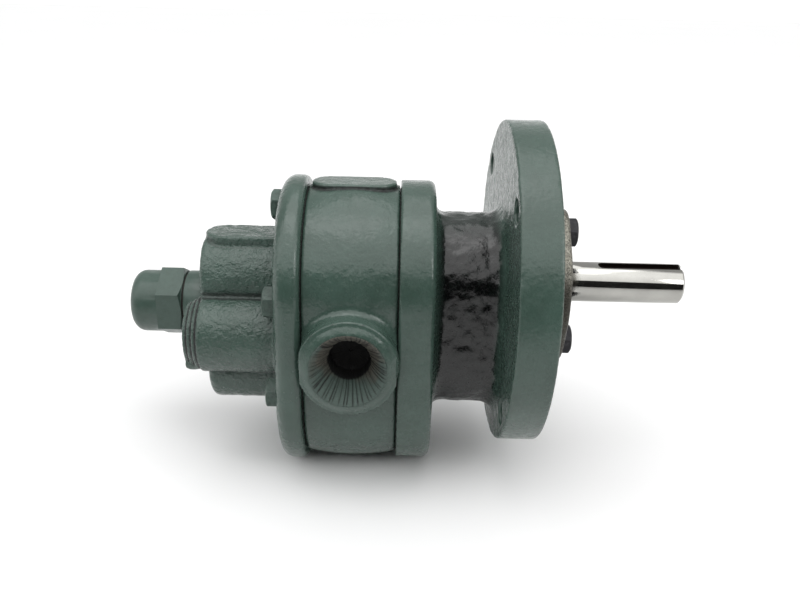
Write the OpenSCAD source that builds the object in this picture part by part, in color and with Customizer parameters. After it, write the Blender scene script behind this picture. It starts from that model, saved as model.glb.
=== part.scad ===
// Flange-mounted external gear pump with a relief valve on its rear cover.
// Origin: on the shaft axis, in the plane of the flange's mounting face.
// +X runs out along the drive shaft, +Z is up, and the two ports face -Y and +Y.

/* [Gears] */
// Number of teeth on each gear
teeth = 14; // [14:1:16]
// Distance between the two gear axes
gear_centres = 44.45; // [44:0.05:45]
// Face width of the gears
gear_face = 41.3; // [36:0.1:41.4]
// Pressure angle in degrees
pressure_angle = 20; // [20:0.5:22]

/* [Drive shaft] */
// Diameter of the drive shaft
shaft_d = 19.05; // [18:0.05:20]
// Reach of the shaft beyond the mounting face
shaft_reach = 70.2; // [60:0.1:90]
// Width of the keyway
keyway_w = 4.76; // [4:0.01:5]
// Length of the keyway at the drive end
keyway_len = 40; // [20:1:50]

/* [Mounting flange] */
// Diameter of the round flange
flange_d = 149.2; // [146:0.1:160]
// Thickness of the flange
flange_t = 17.1; // [12:0.1:20]
// Diameter of the bolt circle
flange_pcd = 130.2; // [126:0.1:132]
// Diameter of the bolt holes
flange_hole_d = 11.1; // [8:0.1:12]
// Diameter of the pilot
pilot_d = 88.9; // [87:0.1:92]
// Height of the pilot
pilot_h = 6.35; // [5:0.05:8]

/* [Housing and castings] */
// Radius of the round ends of the gear housing at its joints
housing_r = 43.5; // [43:0.1:44]
// How far the housing bulges at mid-length
housing_crown = 2.1; // [0.5:0.1:2.5]
// Radius of the round ends of the bracket's plate
plate_r = 46.1; // [45:0.1:48]
// Thickness of the bracket's plate
plate_t = 15.7; // [12:0.1:16]
// Length of the neck between the plate and the flange
neck_len = 30.4; // [28:0.1:36]
// Radius of the round ends of the neck
neck_r = 32; // [31:0.1:34]
// Radius of the round ends of the rear cover's rim
rim_r = 47.6; // [47:0.1:50]
// Thickness of the rear cover's rim
rim_t = 11.8; // [10:0.1:14]
// Thickness of the gaskets
gasket_t = 0.4; // [0.2:0.1:0.8]

/* [Ports] */
// Diameter of the threaded port
port_d = 31.8; // [30:0.1:33]
// Length of the port thread
port_len = 19; // [16:0.5:20]
// Reach of the port face from the middle plane
port_reach = 57; // [56:0.1:60]
// Diameter of the port boss where it stands clear of the rim
boss_d = 44.2; // [42:0.1:45]

/* [Fasteners] */
// Shank diameter of the cover bolts
cover_bolt_d = 7.94; // [6:0.01:8]
// Distance of the cover bolts from the gear axes
cover_bolt_r = 34.5; // [34:0.1:35]
// Shank diameter of the retainer bolts
retainer_bolt_d = 7.94; // [6:0.01:8]
// Distance of the retainer bolts from the shaft axis
retainer_bolt_r = 28.5; // [28:0.1:33]

/* [Relief valve] */
// Sideways distance of the valve axis from the middle plane
valve_y = 19; // [18:0.1:20]
// Radius of the valve lobe and of the plugged lobe
lobe_r = 17.8; // [17:0.1:18.5]
// Radius of the cap
cap_r = 15.5; // [15:0.1:16]

/* [Hidden] */
$fn = 72;

// Axes
idler_z = -gear_centres;
mid_z = -gear_centres / 2;

// Stations along the shaft, from the drive end to the rear
flange_x = -flange_t;
plate_x = flange_x - neck_len;
bracket_x = plate_x - plate_t;
housing_x1 = bracket_x - gasket_t;
side_gap = 0.15;
housing_x0 = housing_x1 - gear_face - 2 * side_gap;
cover_x = housing_x0 - gasket_t;
rim_x = cover_x - rim_t;
mid_x = (housing_x0 + housing_x1) / 2;
upper_lobe_x = -154;
lower_lobe_x = -153.3;
valve_lobe_x = -160.1;

// Fits and clearances
eps = 0.01;
press = 0.005;
running = 0.05;
tip_gap = 0.1;
cusp_cut_r = 2.2;
cusp_cut_y = 13.4;

bolt_gap = 0.3;
dowel_r = 3;
dowel_x0 = rim_x + 3.5;
dowel_x1 = bracket_x + 7;

// Gear tooth
module_mm = gear_centres / teeth;
pitch_r = gear_centres / 2;
tip_r = pitch_r + module_mm;
root_r = pitch_r - 1.25 * module_mm;
base_r = pitch_r * cos(pressure_angle);
backlash = 0.35;
flank_steps = 6;
tooth_tip_round = 0.4;

// Bearings
journal_r = shaft_d / 2;
bushing_r = 12.7;
bushing_len = 25;
idler_front_len = 22;
shaft_rear_x = cover_x - bushing_len - 4;
idler_front_x = bracket_x + idler_front_len + 2;
upper_lobe_r = 19.8;
lower_lobe_r = 18.4;
lobe_pad_z = 21.6;
lobe_pad_w = 20;

// Shaft seal and its retainer
seal_r = 17.5;
seal_len = 9;
retainer_gasket_t = 0.8;
retainer_t = 4.85;
retainer_x = pilot_h + retainer_gasket_t;
retainer_disc_r = 36;
retainer_boss_h = 1.5;
retainer_turn = 108.5;
retainer_head_h = 4.4;
retainer_head_turn = 13;
lug_r = 9.6;
retainer_bore_r = 11;
seal_x1 = pilot_h - 0.1;
seal_x0 = seal_x1 - seal_len;

// Relief valve, stations along its own axis
passage_r = 12.5;
feed_r = 5.5;
chamber_r = 10.6;
seat_x1 = rim_x - 3;
seat_x0 = seat_x1 - 4;
poppet_r = 7.5;
poppet_back_x = seat_x0 - 8;
spring_wire_r = 1.1;
spring_r = 6.2;
spring_turns = 4;
spring_seat_x = -151.8;
spring_seat_t = 3;
spigot_r = 4.2;
bonnet_x0 = -168.8;
bonnet_r = 15.6;
bonnet_nose_x = -177.6;
bonnet_nose_r = 11.5;
bonnet_bore_r = 8.3;
bonnet_wall_x = -164.4;
screw_r = 4;
screw_end_x = -188;
cap_gasket_t = 1;
cap_gasket_r = 14.4;
cap_hex_x0 = -181.8;
cap_nose_x = -195.8;
cap_hex_af = 2 * cap_r;
nut_af = 12.7;
nut_t = 4.8;

plug_r = 8;
plug_len = 12;
plug_sunk = 1.2;
socket_af = 7.9;
socket_depth = 5.8;

// Neck
neck_low_z = -29;

// Hexagon heads of the 5/16 in bolts
bolt_af = 12.7;
bolt_head_h = 5;

// Colours
paint = [0.33, 0.42, 0.38];
dark_paint = [0.2, 0.25, 0.23];
steel = [0.72, 0.72, 0.7];
black_steel = [0.12, 0.12, 0.13];
bronze = [0.7, 0.52, 0.28];
raw_iron = [0.55, 0.54, 0.5];
rubber = [0.06, 0.06, 0.06];
gasket_grey = [0.28, 0.27, 0.25];

// Points along an arc, as [radius, station] pairs
function arc(cx, cy, r, a0, a1, n = 6) =
    [for (i = [0:n]) [cx + r * cos(a0 + (a1 - a0) * i / n), cy + r * sin(a0 + (a1 - a0) * i / n)]];

// A cylinder along X from x0 to x1
module rod_x(r, x0, x1, y = 0, z = 0, r2 = undef) {
    translate([x0, y, z]) rotate([0, 90, 0])
        cylinder(h = x1 - x0, r1 = r, r2 = is_undef(r2) ? r : r2);
}

// A flat outline in Y and Z, extruded along X from x0 to x1
module slab_x(x0, x1) {
    translate([x0, 0, 0]) rotate([90, 0, 90]) linear_extrude(x1 - x0) children();
}

// A profile of [radius, station] pairs, turned about the X axis
module turned_x(y = 0, z = 0) {
    translate([0, y, z]) rotate([0, 90, 0]) rotate_extrude() children();
}

// A profile of [radius, station] pairs, carried round a racetrack outline
module racetrack(z_top, z_low) {
    for (z = [z_top, z_low]) turned_x(0, z) children();
    for (side = [0, 1]) mirror([0, side, 0]) translate([0, 0, z_low])
        mirror([1, 0, 0]) rotate([0, 0, 90]) linear_extrude(z_top - z_low) children();
}

// The flat racetrack outline in Y and Z
module racetrack_outline(r) {
    for (z = [0, idler_z]) translate([0, z]) circle(r);
    translate([-r, idler_z]) square([2 * r, gear_centres]);
}

// A hexagon along X, with corners at its top and bottom
module hex_x(af, x0, x1, y = 0, z = 0) {
    translate([x0, y, z]) rotate([0, 90, 0]) cylinder(h = x1 - x0, r = af / sqrt(3), $fn = 6);
}

// A hexagon along X whose corners at the x0 end are chamfered
module hex_head_x(af, x0, x1, y = 0, z = 0) {
    depth = af * 0.09;
    corner_r = af / sqrt(3);
    intersection() {
        hex_x(af, x0, x1, y, z);
        turned_x(y, z) polygon([
            [0, x0], [af * 0.47, x0], [corner_r + 0.1, x0 + depth], [corner_r + 0.1, x1], [0, x1]
        ]);
    }
}

// Places of the six cover bolts
module at_cover_bolts() {
    for (p = [
        [0, cover_bolt_r], [cover_bolt_r, 0], [-cover_bolt_r, 0],
        [cover_bolt_r, idler_z], [-cover_bolt_r, idler_z], [0, idler_z - cover_bolt_r]
    ]) translate([0, p[0], p[1]]) children();
}

// Places of the two dowel pins
module at_dowels() {
    reach = cover_bolt_r * cos(45);
    for (p = [[reach, reach], [-reach, idler_z - reach]]) translate([0, p[0], p[1]]) children();
}

// Places of the four flange holes, at 45 degrees to the axes
module at_flange_holes() {
    for (a = [45:90:315]) translate([0, flange_pcd / 2 * cos(a), flange_pcd / 2 * sin(a)]) children();
}

// Places of the three retainer bolts
module at_retainer_bolts() {
    for (a = [0:120:240]) rotate([retainer_turn + a, 0, 0]) translate([0, retainer_bolt_r, 0]) children();
}

// Bolt and dowel holes through the clamped stack
module stack_holes(x0, x1) {
    at_cover_bolts() rod_x(cover_bolt_d / 2 + bolt_gap, x0, x1);
    at_dowels() rod_x(dowel_r, max(x0, dowel_x0), x1);
}

// One involute gear in the Y and Z plane, with a tooth (or a space) pointing along +Y
function involute(t) = base_r * [cos(t) + t * PI / 180 * sin(t), sin(t) - t * PI / 180 * cos(t)];
function roll_angle(r) = r <= base_r ? 0 : sqrt(pow(r / base_r, 2) - 1) * 180 / PI;
function involute_angle(r) = roll_angle(r) - atan(roll_angle(r) * PI / 180);
function half_tooth(r) =
    90 / teeth - backlash / 4 / pitch_r * 180 / PI + involute_angle(pitch_r) - involute_angle(r);
function flank(side) = [
    for (i = [0:flank_steps])
        let (r = base_r + (tip_r - tooth_tip_round - base_r) * i / flank_steps)
        [r, side * half_tooth(r)]
];
root_half = half_tooth(base_r) - 1.6;
function tooth_polar() = concat(
    [[root_r, -root_half - 1.2], [root_r + 0.9, -root_half]], flank(-1),
    [[tip_r, -half_tooth(tip_r) + 0.8], [tip_r, half_tooth(tip_r) - 0.8]],
    [for (i = [flank_steps:-1:0]) flank(1)[i]],
    [[root_r + 0.9, root_half], [root_r, root_half + 1.2]]
);
module gear_outline() {
    polygon([
        for (k = [0:teeth - 1]) for (p = tooth_polar())
            p[0] * [cos(p[1] + k * 360 / teeth), sin(p[1] + k * 360 / teeth)]
    ]);
}

// A gear blank with its bore and its own keyway
module keyed_gear(z, start_angle, key_side) {
    translate([0, 0, z]) difference() {
        slab_x(housing_x0 + side_gap, housing_x1 - side_gap) rotate(start_angle) gear_outline();
        rod_x(journal_r + press, housing_x0, housing_x1);
        translate([housing_x0, -keyway_w / 2, key_side > 0 ? 0 : -journal_r - 2.4])
            cube([housing_x1 - housing_x0, keyway_w, journal_r + 2.4]);
    }
}

// The square key between a gear and its shaft
key_len = 32;
module gear_key(z, side) {
    translate([mid_x - key_len / 2, -keyway_w / 2 + press, z + side * journal_r - 2.3])
        cube([key_len, keyway_w - 2 * press, 4.6]);
}

// A plain bushing
module bushing(x0, x1, z) {
    difference() {
        rod_x(bushing_r, x0, x1, 0, z);
        rod_x(journal_r + running, x0 - eps, x1 + eps, 0, z);
        rod_x(journal_r + 0.8, x1 - 0.8, x1 + eps, 0, z, journal_r + running + 0.8 + eps);
    }
}

// The keyway that holds a gear's key
module gear_keyseat(z, side) {
    translate([mid_x - key_len / 2, -keyway_w / 2, z + side * journal_r - 2.4])
        cube([key_len, keyway_w, 4.8]);
}

// A shaft from x0 to x1 with chamfered ends
module plain_shaft(x0, x1, z) {
    c = 1;
    turned_x(0, z) polygon([
        [0, x0], [journal_r - c, x0], [journal_r, x0 + c],
        [journal_r, x1 - c], [journal_r - c, x1], [0, x1]
    ]);
}

// Section through the crowned housing wall
module housing_profile() {
    edge = 0.8;
    half = (housing_x1 - housing_x0) / 2 - edge;
    bulge_r = (half * half + housing_crown * housing_crown) / (2 * housing_crown);
    sweep = asin(half / bulge_r);
    polygon(concat(
        [[0, housing_x0], [housing_r - edge, housing_x0]],
        arc(housing_r + housing_crown - bulge_r, mid_x, bulge_r, -sweep, sweep, 12),
        [[housing_r - edge, housing_x1], [0, housing_x1]]
    ));
}

// Half section through a port boss, as radius and reach: it widens where it clears the rim
module port_boss_profile() {
    root_boss_r = 20.6;
    clear_y = 48.4;
    shoulder = 4.6;
    polygon(concat(
        [[0, 0], [root_boss_r, 0], [root_boss_r, clear_y], [boss_d / 2, clear_y]],
        arc(boss_d / 2 - shoulder, port_reach - shoulder, shoulder, 0, 90), [[0, port_reach]]
    ));
}

module gear_housing() {
    pad_half = 8.8;
    pad_reach = 19.2;
    pad_z = housing_r + housing_crown + 0.9;
    pad_run = pad_reach - pad_half;
    color(paint) difference() {
        union() {
            racetrack(0, idler_z) housing_profile();
            for (s = [-1, 1]) translate([mid_x, 0, mid_z]) rotate([90 * s, 0, 0])
                rotate_extrude() port_boss_profile();
            for (z = [0, idler_z - pad_z]) translate([mid_x, 0, z]) {
                for (s = [-1, 1]) translate([s * pad_run, 0, 0]) cylinder(h = pad_z, r = pad_half);
                translate([-pad_run, -pad_half, 0]) cube([2 * pad_run, 2 * pad_half, pad_z]);
            }
        }
        for (z = [0, idler_z]) rod_x(tip_r + tip_gap, housing_x0 - 1, housing_x1 + 1, 0, z);
        for (s = [-1, 1]) {
            translate([mid_x, 0, mid_z]) rotate([90 * s, 0, 0]) {
                cylinder(h = port_reach, r = passage_r);
                translate([0, 0, port_reach - port_len]) cylinder(h = port_len + 1, r = port_d / 2);
            }
            rod_x(cusp_cut_r, housing_x0 - 1, housing_x1 + 1, s * cusp_cut_y, mid_z);
        }
        rod_x(feed_r, housing_x0 - 1, mid_x, valve_y, mid_z);
        stack_holes(housing_x0 - 1, housing_x1 + 1);
    }
}

// A round cast lobe along X whose free end at x0 is rounded
module cast_lobe(r, x0, x1, y, z, edge = 3) {
    turned_x(y, z) polygon(concat([[0, x0]], arc(r - edge, x0 + edge, edge, -90, 0), [[r, x1], [0, x1]]));
}

module rear_cover() {
    rear_edge = 6.2;
    front_edge = 2.6;
    step = 1.2;
    step_len = 2.3;
    web_len = 33;
    web_w = 20;
    web_gap = 6;
    spotface_r = 9.4;
    pad_x = upper_lobe_x + 0.5 + lobe_pad_w / 2;
    color(paint) difference() {
        union() {
            racetrack(0, idler_z) polygon(concat(
                [[0, rim_x]], arc(rim_r - rear_edge, rim_x + rear_edge, rear_edge, -90, 0),
                arc(rim_r - front_edge, cover_x - front_edge, front_edge, 0, 90), [[0, cover_x]]
            ));
            cast_lobe(upper_lobe_r, upper_lobe_x, rim_x + 1, 0, 0, 2);
            cast_lobe(lower_lobe_r, lower_lobe_x, rim_x + 1, 0, idler_z);
            translate([pad_x, 0, 0]) cylinder(h = lobe_pad_z, r = lobe_pad_w / 2);
            translate([pad_x, -lobe_pad_w / 2, 0]) cube([rim_x - pad_x + 1, lobe_pad_w, lobe_pad_z]);
            cast_lobe(lobe_r, valve_lobe_x, rim_x + 1, valve_y, mid_z, 1.5);
            turned_x(-valve_y, mid_z) polygon(concat(
                [[0, valve_lobe_x]],
                [for (n = [0:3]) each concat(
                    arc(lobe_r - (4 - n) * step, valve_lobe_x + n * step_len + step, step, -90, 0, 3),
                    [[lobe_r - (3 - n) * step, n < 3 ? valve_lobe_x + (n + 1) * step_len : rim_x + 1]]
                )],
                [[0, rim_x + 1]]
            ));
            translate([rim_x - web_len, -web_w / 2, idler_z + web_gap])
                cube([web_len + 1, web_w, gear_centres - 2 * web_gap]);
        }
        for (z = [0, idler_z]) {
            rod_x(bushing_r, cover_x - bushing_len, cover_x + 1, 0, z);
            rod_x(journal_r + 1.5, shaft_rear_x - 3, cover_x, 0, z);
        }
        rod_x(chamber_r, valve_lobe_x - 1, seat_x1, valve_y, mid_z);
        rod_x(feed_r, seat_x1 - 1, cover_x + 1, valve_y, mid_z);
        rod_x(plug_r, valve_lobe_x - 1, valve_lobe_x + plug_len, -valve_y, mid_z);
        stack_holes(rim_x - 1, cover_x + 1);
        at_cover_bolts() rod_x(spotface_r, rim_x - 8, rim_x);
    }
}

// Concave fillet profile of the neck between the plate and the flange
module neck_profile() {
    fillet = 5;
    polygon(concat(
        [[0, plate_x - 1], [neck_r + fillet, plate_x - 1]],
        arc(neck_r + fillet, plate_x + fillet, fillet, 270, 180),
        arc(neck_r + fillet, flange_x - fillet, fillet, 180, 90),
        [[neck_r + fillet, flange_x + 1], [0, flange_x + 1]]
    ));
}

module front_bracket() {
    plate_edge = 2.8;
    rear_edge = 1;
    front_edge = 0.6;
    color(paint) difference() {
        union() {
            racetrack(0, idler_z) polygon(concat(
                [[0, bracket_x], [plate_r, bracket_x]],
                arc(plate_r - plate_edge, plate_x - plate_edge, plate_edge, 0, 90), [[0, plate_x]]
            ));
            racetrack(0, neck_low_z) neck_profile();
            turned_x() polygon(concat(
                [[0, flange_x]], arc(flange_d / 2 - rear_edge, flange_x + rear_edge, rear_edge, -90, 0),
                arc(flange_d / 2 - front_edge, -front_edge, front_edge, 0, 90, 3),
                [[pilot_d / 2, 0], [pilot_d / 2, pilot_h - 0.8], [pilot_d / 2 - 0.8, pilot_h], [0, pilot_h]]
            ));
        }
        rod_x(bushing_r, bracket_x - 1, bracket_x + bushing_len);
        rod_x(journal_r + 1.5, bracket_x, seal_x0);
        rod_x(bushing_r, seal_x0 - 2 - idler_front_len, seal_x0 + 1);
        rod_x(seal_r, seal_x0, pilot_h + 1);
        rod_x(bushing_r, bracket_x - 1, bracket_x + idler_front_len, 0, idler_z);
        rod_x(journal_r + 1.5, bracket_x, idler_front_x + 2, 0, idler_z);
        at_cover_bolts() rod_x(cover_bolt_d / 2, bracket_x - 1, bracket_x + 12);
        at_dowels() rod_x(dowel_r, bracket_x - 1, dowel_x1 + 0.5);
        at_flange_holes() rod_x(flange_hole_d / 2, flange_x - 1, 1);
        at_retainer_bolts() rod_x(retainer_bolt_d / 2, -8.5, pilot_h + 1);
    }
}

// A flat gasket of the joint outline, set back from the castings' edges
module joint_gasket(x0) {
    difference() {
        slab_x(x0, x0 + gasket_t) racetrack_outline(housing_r - 1.2);
        for (z = [0, idler_z]) rod_x(tip_r + 0.6, x0 - 1, x0 + gasket_t + 1, 0, z);
        stack_holes(x0 - 1, x0 + gasket_t + 1);
    }
}
module front_gasket() { color(gasket_grey) joint_gasket(housing_x1); }
module rear_gasket() {
    color(gasket_grey) difference() {
        joint_gasket(cover_x);
        rod_x(feed_r + 0.5, cover_x - 1, cover_x + gasket_t + 1, valve_y, mid_z);
    }
}

// The free end's keyway stands a little round from the gear's, and a shallow groove ends the seal's track
module drive_shaft() {
    way_x = shaft_reach - keyway_len + keyway_w / 2;
    way_turn = 12.4;
    bar_turn = -20;
    groove_x = 16.4;
    groove_w = 1;
    groove_depth = 0.25;
    color(steel) difference() {
        // Round bar, so the turn it stands at does not show
        rotate([bar_turn, 0, 0]) plain_shaft(shaft_rear_x, shaft_reach, 0);
        rotate([way_turn, 0, 0]) translate([way_x, 0, journal_r - 2.4]) {
            translate([0, -keyway_w / 2, 0]) cube([keyway_len, keyway_w, 4]);
            cylinder(h = 4, r = keyway_w / 2);
        }
        turned_x() translate([journal_r - groove_depth, groove_x]) square([1, groove_w]);
        gear_keyseat(0, 1);
    }
}
module idler_shaft() {
    color(steel) difference() {
        plain_shaft(shaft_rear_x, idler_front_x, idler_z);
        gear_keyseat(idler_z, -1);
    }
}

// The drive gear has a tooth at its lowest point and the idler has a space at its highest
module drive_gear() { color(steel) keyed_gear(0, -90, 1); }
module idler_gear() { color(steel) keyed_gear(idler_z, 90 + 180 / teeth, -1); }
module drive_gear_key() { color(raw_iron) gear_key(0, 1); }
module idler_gear_key() { color(raw_iron) gear_key(idler_z, -1); }

module drive_bushing_rear() { color(bronze) bushing(cover_x - bushing_len, cover_x, 0); }
module idler_bushing_rear() { color(bronze) bushing(cover_x - bushing_len, cover_x, idler_z); }
module drive_bushing_front() { color(bronze) bushing(bracket_x, bracket_x + bushing_len, 0); }
module idler_bushing_front() { color(bronze) bushing(bracket_x, bracket_x + idler_front_len, idler_z); }
module drive_bushing_outboard() {
    color(bronze) bushing(seal_x0 - 2 - idler_front_len, seal_x0 - 2, 0);
}

// Lip seal: a steel case, a rubber lip and the garter spring round the lip
module seal_case() {
    wall = 1.2;
    color(steel) turned_x() polygon([
        [seal_r, seal_x0], [seal_r, seal_x1], [seal_r - 4.5, seal_x1],
        [seal_r - 4.5, seal_x1 - wall], [seal_r - wall, seal_x1 - wall], [seal_r - wall, seal_x0]
    ]);
}
module seal_lip() {
    lip_r = journal_r + 0.08;
    color(rubber) turned_x() polygon([
        [seal_r - 1.2, seal_x1 - 1.2], [seal_r - 4.5, seal_x1 - 1.2], [seal_r - 4.5, seal_x1],
        [lip_r + 1.4, seal_x1], [lip_r, seal_x1 - 0.8], [lip_r + 0.9, seal_x1 - 2.6],
        [lip_r, seal_x0 + 2.6], [lip_r + 0.8, seal_x0 + 0.8], [lip_r + 3, seal_x0 + 0.8],
        [lip_r + 3, seal_x0 + 5], [seal_r - 2.4, seal_x1 - 2.4], [seal_r - 1.2, seal_x1 - 2.4]
    ]);
}
module garter_spring() {
    color(steel) turned_x() translate([journal_r + 4.1, seal_x0 + 2.6]) circle(1, $fn = 16);
}

module retainer_outline() {
    circle(retainer_disc_r);
    for (a = [0:120:240]) rotate(retainer_turn + a) translate([retainer_bolt_r, 0]) circle(lug_r);
}
module retainer_gasket() {
    color(gasket_grey) difference() {
        slab_x(pilot_h, retainer_x) intersection() { retainer_outline(); circle(pilot_d / 2 - 1); }
        rod_x(retainer_bore_r + 3, pilot_h - 1, retainer_x + 1);
        at_retainer_bolts() rod_x(retainer_bolt_d / 2 + bolt_gap, pilot_h - 1, retainer_x + 1);
    }
}
module retainer_plate() {
    front_x = retainer_x + retainer_t;
    color(raw_iron) difference() {
        union() {
            slab_x(retainer_x, front_x) retainer_outline();
            rod_x(20, retainer_x, front_x + retainer_boss_h);
        }
        rod_x(retainer_bore_r, retainer_x - 1, front_x + retainer_boss_h + 1);
        at_retainer_bolts() rod_x(retainer_bolt_d / 2 + bolt_gap, retainer_x - 1, front_x + 1);
    }
}
module retainer_bolts() {
    head_x = retainer_x + retainer_t;
    color(black_steel) for (a = [0:120:240])
        translate([0, retainer_bolt_r * cos(retainer_turn + a), retainer_bolt_r * sin(retainer_turn + a)]) {
            rod_x(retainer_bolt_d / 2, -8, head_x + 1);
            rotate([retainer_head_turn, 0, 0]) mirror([1, 0, 0])
                hex_head_x(bolt_af, -head_x - retainer_head_h, -head_x);
        }
}

module cover_bolts() {
    color(paint) at_cover_bolts() {
        rod_x(cover_bolt_d / 2, rim_x - 1, bracket_x + 11.5);
        hex_head_x(bolt_af, rim_x - bolt_head_h, rim_x);
    }
}
module dowel_pins() { color(steel) at_dowels() rod_x(dowel_r, dowel_x0 + 0.2, dowel_x1); }

module relief_seat() {
    color(steel) difference() {
        rod_x(chamber_r, seat_x0, seat_x1, valve_y, mid_z);
        rod_x(feed_r, seat_x0 - 1, seat_x1 + 1, valve_y, mid_z);
    }
}
module relief_poppet() {
    color(steel) turned_x(valve_y, mid_z) polygon([
        [0, seat_x0 + 2], [feed_r - 1.6, seat_x0 + 2], [feed_r - 0.3, seat_x0 - 0.2],
        [poppet_r, seat_x0 - 3], [poppet_r, poppet_back_x], [spigot_r, poppet_back_x],
        [spigot_r, poppet_back_x - 6], [0, poppet_back_x - 6]
    ]);
}

// An open coil between the poppet and the spring seat
module relief_spring() {
    sides = 8;
    per_turn = 18;
    x0 = spring_seat_x + spring_wire_r;
    x1 = poppet_back_x - spring_wire_r;
    steps = spring_turns * per_turn;
    ring = [for (i = [0:steps]) let (a = 360 * i / per_turn, x = x0 + (x1 - x0) * i / steps)
        for (k = [0:sides - 1]) let (
            r = spring_r + spring_wire_r * cos(360 * k / sides),
            s = spring_wire_r * sin(360 * k / sides)
        ) [x + s, r * cos(a), r * sin(a)]];
    sides_faces = [for (i = [0:steps - 1]) for (k = [0:sides - 1]) let (n = (k + 1) % sides)
        [i * sides + k, i * sides + n, (i + 1) * sides + n, (i + 1) * sides + k]];
    caps = [[for (k = [sides - 1:-1:0]) k], [for (k = [0:sides - 1]) steps * sides + k]];
    color(steel) translate([0, valve_y, mid_z]) polyhedron(ring, concat(sides_faces, caps), 4);
}
module spring_seat() {
    color(steel) {
        rod_x(7.9, spring_seat_x - spring_seat_t, spring_seat_x, valve_y, mid_z);
        rod_x(spigot_r, spring_seat_x - 1, spring_seat_x + 2.5, valve_y, mid_z);
    }
}
module adjusting_screw() {
    slot_w = 1.6;
    tip_x = spring_seat_x - spring_seat_t;
    color(steel) difference() {
        turned_x(valve_y, mid_z) polygon([
            [0, screw_end_x], [screw_r - 0.8, screw_end_x], [screw_r, screw_end_x + 0.8],
            [screw_r, tip_x - 0.8], [screw_r - 0.8, tip_x], [0, tip_x]
        ]);
        translate([screw_end_x - 1, valve_y - screw_r - 1, mid_z - slot_w / 2])
            cube([3, 2 * screw_r + 2, slot_w]);
    }
}
module lock_nut() {
    color(steel) difference() {
        hex_head_x(nut_af, bonnet_nose_x - nut_t, bonnet_nose_x, valve_y, mid_z);
        rod_x(screw_r + running, bonnet_nose_x - nut_t - 1, bonnet_nose_x + 1, valve_y, mid_z);
    }
}
module relief_bonnet() {
    color(paint) difference() {
        union() {
            rod_x(bonnet_r, bonnet_x0, valve_lobe_x, valve_y, mid_z);
            rod_x(chamber_r, valve_lobe_x - 1, spring_seat_x + 7, valve_y, mid_z);
            rod_x(bonnet_nose_r, bonnet_nose_x, bonnet_x0 + 1, valve_y, mid_z);
        }
        rod_x(bonnet_bore_r, bonnet_wall_x, spring_seat_x + 8, valve_y, mid_z);
        rod_x(screw_r + running, bonnet_nose_x - 1, bonnet_wall_x + 1, valve_y, mid_z);
    }
}
module cap_gasket() {
    color(bronze) difference() {
        rod_x(cap_gasket_r, bonnet_x0 - cap_gasket_t, bonnet_x0, valve_y, mid_z);
        rod_x(bonnet_nose_r + 0.2, bonnet_x0 - cap_gasket_t - 1, bonnet_x0 + 1, valve_y, mid_z);
    }
}
module relief_cap() {
    mouth_x = bonnet_x0 - cap_gasket_t;
    nose_round = 5.5;
    hex_corner = cap_hex_af / sqrt(3);
    color(paint) difference() {
        union() {
            turned_x(valve_y, mid_z) polygon(concat(
                [[0, cap_nose_x]], arc(cap_r - nose_round, cap_nose_x + nose_round, nose_round, -90, 0),
                [[cap_r, mouth_x], [0, mouth_x]]
            ));
            intersection() {
                hex_x(cap_hex_af, cap_hex_x0, mouth_x, valve_y, mid_z);
                turned_x(valve_y, mid_z) polygon([
                    [0, cap_hex_x0], [hex_corner + 0.1, cap_hex_x0], [hex_corner + 0.1, mouth_x - 1.3],
                    [cap_r - 0.3, mouth_x], [0, mouth_x]
                ]);
            }
        }
        rod_x(bonnet_nose_r + 0.08, bonnet_nose_x - 0.4, mouth_x + 1, valve_y, mid_z);
        rod_x(9.4, cap_nose_x + 4.6, bonnet_nose_x, valve_y, mid_z);
    }
}

// Socket-headed plug that closes the second lobe
module lobe_plug() {
    color(dark_paint) difference() {
        rod_x(plug_r, valve_lobe_x + plug_sunk, valve_lobe_x + plug_len, -valve_y, mid_z);
        hex_x(socket_af, valve_lobe_x, valve_lobe_x + plug_sunk + socket_depth, -valve_y, mid_z);
    }
}

gear_housing();
rear_cover();
front_bracket();
front_gasket();
rear_gasket();
drive_shaft();
drive_gear();
drive_gear_key();
idler_shaft();
idler_gear();
idler_gear_key();
drive_bushing_rear();
drive_bushing_front();
drive_bushing_outboard();
idler_bushing_rear();
idler_bushing_front();
seal_case();
seal_lip();
garter_spring();
retainer_gasket();
retainer_plate();
retainer_bolts();
cover_bolts();
dowel_pins();
relief_seat();
relief_poppet();
relief_spring();
spring_seat();
adjusting_screw();
lock_nut();
relief_bonnet();
cap_gasket();
relief_cap();
lobe_plug();
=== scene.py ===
"""Looks for a flange-mounted hydraulic gear pump: cast and enamelled housings, ground shaft, relief valve."""
import math
from itertools import product

import bmesh
import bpy
import numpy as np
from mathutils import Matrix, Vector


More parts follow.
